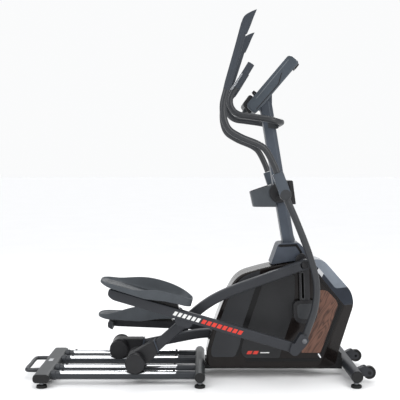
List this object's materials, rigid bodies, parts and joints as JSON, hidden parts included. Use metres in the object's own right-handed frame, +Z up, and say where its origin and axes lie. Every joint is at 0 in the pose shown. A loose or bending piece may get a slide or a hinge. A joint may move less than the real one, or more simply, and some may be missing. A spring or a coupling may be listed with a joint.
{
  "type": "elliptical trainer",
  "caption": "Front-drive elliptical cross-trainer with roller arms on twin rails, dished pedals on foot links, swinging upper handles, fixed grips, cup holder and tilted console.",
  "frame": {"origin": "on the floor, at the centre of the overall length and width", "axes": "+X forward from the pedals towards the housing, +Y to the user's left, +Z up"},
  "size_m": [1.6862, 0.6442, 1.736],
  "materials": {
    "frame_paint": "satin charcoal powder coat",
    "crank_paint": "satin dark charcoal",
    "rail_paint": "satin grey powder coat",
    "rail_chrome": "polished half sleeve",
    "steel": "turned steel",
    "foot_rubber": "matte black rubber",
    "wheel_plastic": "satin black nylon",
    "roller_tread": "dark polyurethane",
    "housing_gloss": "gloss black-brown",
    "cap_gloss": "reflective grey-blue",
    "wood_panel": "walnut-look grain",
    "cover_plastic": "fine-textured black",
    "console_plastic": "satin dark grey",
    "screen": "glossy dark display",
    "pedal_plastic": "textured grey",
    "grip_foam": "closed-cell foam"
  },
  "bodies": {
    "frame": {"rear_stabiliser": "frame_paint", "middle_stabiliser": "frame_paint", "front_stabiliser": "frame_paint", "main_frame": "frame_paint", "housing_right": "housing_gloss", "housing_left": "housing_gloss", "front_cap": "cap_gloss", "mast": "frame_paint", "mast_cover": "cover_plastic", "swing_axle": "steel", "axle_shroud": "cover_plastic", "cup_holder": "cover_plastic", "fixed_handlebar": "frame_paint", "console_housing": "console_plastic", "console_screen": "screen", "rail_beam_inner_right": "rail_paint", "rail_beam_inner_left": "rail_paint", "rail_beam_outer_right": "rail_paint", "rail_beam_outer_left": "rail_paint", "rail_cover_inner_right": "rail_chrome", "rail_cover_inner_left": "rail_chrome", "rail_cover_outer_right": "rail_chrome", "rail_cover_outer_left": "rail_chrome", "wood_panel_right": "wood_panel", "wood_panel_left": "wood_panel"},
    "crank": {"crank_shaft": "steel", "crank_arm_right": "crank_paint", "crank_arm_left": "crank_paint", "crank_cover_right": "cover_plastic", "crank_cover_left": "cover_plastic"},
    "flywheel": {"flywheel": "steel"},
    "carriage_right": {"roller_axle_right": "steel"},
    "rollers_right": {"roller_wheel_inner_right": "roller_tread", "roller_wheel_outer_right": "roller_tread"},
    "roller_arm_right": {"roller_arm_right": "frame_paint", "roller_cover_right": "cover_plastic"},
    "swing_right": {"swing_arm_right": "frame_paint", "swing_handle_right": "frame_paint", "swing_grip_right": "grip_foam"},
    "foot_link_right": {"foot_link_right": "frame_paint", "pedal_right": "pedal_plastic"},
    "carriage_left": {"roller_axle_left": "steel"},
    "rollers_left": {"roller_wheel_inner_left": "roller_tread", "roller_wheel_outer_left": "roller_tread"},
    "roller_arm_left": {"roller_arm_left": "frame_paint", "roller_cover_left": "cover_plastic"},
    "swing_left": {"swing_arm_left": "frame_paint", "swing_handle_left": "frame_paint", "swing_grip_left": "grip_foam"},
    "foot_link_left": {"foot_link_left": "frame_paint", "pedal_left": "pedal_plastic"},
    "transport_wheel_right": {"transport_wheel_right": "wheel_plastic"},
    "transport_wheel_left": {"transport_wheel_left": "wheel_plastic"},
    "levelling_foot_rear_right": {"foot_rear_right": "foot_rubber"},
    "levelling_foot_rear_left": {"foot_rear_left": "foot_rubber"},
    "levelling_foot_middle_right": {"foot_middle_right": "foot_rubber"},
    "levelling_foot_middle_left": {"foot_middle_left": "foot_rubber"},
    "levelling_foot_front_right": {"foot_front_right": "foot_rubber"},
    "levelling_foot_front_left": {"foot_front_left": "foot_rubber"}
  },
  "joints": [
    {"name": "crank_turn", "type": "hinge", "parent": "frame", "child": "crank", "pos_m": [0.513, 0, 0.333], "axis": [0, 1, 0], "range_deg": [0, 90]},
    {"name": "flywheel_spin", "type": "hinge", "parent": "frame", "child": "flywheel", "pos_m": [0.232, 0, 0.278], "axis": [0, 1, 0], "continuous": true},
    {"name": "carriage_slide_right", "type": "slide", "parent": "frame", "child": "carriage_right", "axis": [1, 0, 0], "range_m": [0, 0.14812]},
    {"name": "roller_arm_pivot_right", "type": "hinge", "parent": "carriage_right", "child": "roller_arm_right", "pos_m": [-0.29873, -0.14, 0.103], "axis": [0, 1, 0], "range_deg": [0, 14.95]},
    {"name": "roller_spin_right", "type": "hinge", "parent": "carriage_right", "child": "rollers_right", "pos_m": [-0.29873, -0.14, 0.103], "axis": [0, 1, 0], "continuous": true},
    {"name": "swing_pivot_right", "type": "hinge", "parent": "frame", "child": "swing_right", "pos_m": [0.397, -0.255, 0.9], "axis": [0, 1, 0], "range_deg": [-17.58, 0]},
    {"name": "foot_link_pivot_right", "type": "hinge", "parent": "swing_right", "child": "foot_link_right", "pos_m": [0.489, -0.24, 0.224], "axis": [0, 1, 0], "range_deg": [0, 4.81]},
    {"name": "carriage_slide_left", "type": "slide", "parent": "frame", "child": "carriage_left", "axis": [1, 0, 0], "range_m": [-0.21294, 0]},
    {"name": "roller_arm_pivot_left", "type": "hinge", "parent": "carriage_left", "child": "roller_arm_left", "pos_m": [-0.40445, 0.14, 0.103], "axis": [0, 1, 0], "range_deg": [-13.92, 0]},
    {"name": "roller_spin_left", "type": "hinge", "parent": "carriage_left", "child": "rollers_left", "pos_m": [-0.40445, 0.14, 0.103], "axis": [0, 1, 0], "continuous": true},
    {"name": "swing_pivot_left", "type": "hinge", "parent": "frame", "child": "swing_left", "pos_m": [0.397, 0.255, 0.9], "axis": [0, 1, 0], "range_deg": [0, 19.95]},
    {"name": "foot_link_pivot_left", "type": "hinge", "parent": "swing_left", "child": "foot_link_left", "pos_m": [0.46143, 0.24, 0.22082], "axis": [0, 1, 0], "range_deg": [-14.64, 0]},
    {"name": "transport_wheel_spin_right", "type": "hinge", "parent": "frame", "child": "transport_wheel_right", "pos_m": [0.812, -0.16, 0.05], "axis": [0, 1, 0], "continuous": true},
    {"name": "transport_wheel_spin_left", "type": "hinge", "parent": "frame", "child": "transport_wheel_left", "pos_m": [0.812, 0.16, 0.05], "axis": [0, 1, 0], "continuous": true},
    {"name": "levelling_foot_rear_right_turn", "type": "hinge", "parent": "frame", "child": "levelling_foot_rear_right", "pos_m": [-0.731, -0.24, 0.01], "axis": [0, 0, 1], "continuous": true},
    {"name": "levelling_foot_rear_left_turn", "type": "hinge", "parent": "frame", "child": "levelling_foot_rear_left", "pos_m": [-0.731, 0.24, 0.01], "axis": [0, 0, 1], "continuous": true},
    {"name": "levelling_foot_middle_right_turn", "type": "hinge", "parent": "frame", "child": "levelling_foot_middle_right", "pos_m": [0.006, -0.24, 0.01], "axis": [0, 0, 1], "continuous": true},
    {"name": "levelling_foot_middle_left_turn", "type": "hinge", "parent": "frame", "child": "levelling_foot_middle_left", "pos_m": [0.006, 0.24, 0.01], "axis": [0, 0, 1], "continuous": true},
    {"name": "levelling_foot_front_right_turn", "type": "hinge", "parent": "frame", "child": "levelling_foot_front_right", "pos_m": [0.735, -0.24, 0.01], "axis": [0, 0, 1], "continuous": true},
    {"name": "levelling_foot_front_left_turn", "type": "hinge", "parent": "frame", "child": "levelling_foot_front_left", "pos_m": [0.735, 0.24, 0.01], "axis": [0, 0, 1], "continuous": true}
  ],
  "couplings": [
    {"joint": "flywheel_spin", "follows": "crank_turn", "ratio": 4.9167},
    {"joint": "carriage_slide_right", "follows": "crank_turn", "m_per_rad": 0.094106},
    {"joint": "roller_arm_pivot_right", "follows": "crank_turn", "ratio": 0.16575},
    {"joint": "roller_spin_right", "follows": "crank_turn", "ratio": 2.7925},
    {"joint": "swing_pivot_right", "follows": "crank_turn", "ratio": -0.19495},
    {"joint": "foot_link_pivot_right", "follows": "crank_turn", "ratio": 0.053369},
    {"joint": "carriage_slide_left", "follows": "crank_turn", "m_per_rad": -0.13529},
    {"joint": "roller_arm_pivot_left", "follows": "crank_turn", "ratio": -0.15432},
    {"joint": "roller_spin_left", "follows": "crank_turn", "ratio": -4.0146},
    {"joint": "swing_pivot_left", "follows": "crank_turn", "ratio": 0.22116},
    {"joint": "foot_link_pivot_left", "follows": "crank_turn", "ratio": -0.16233}
  ]
}
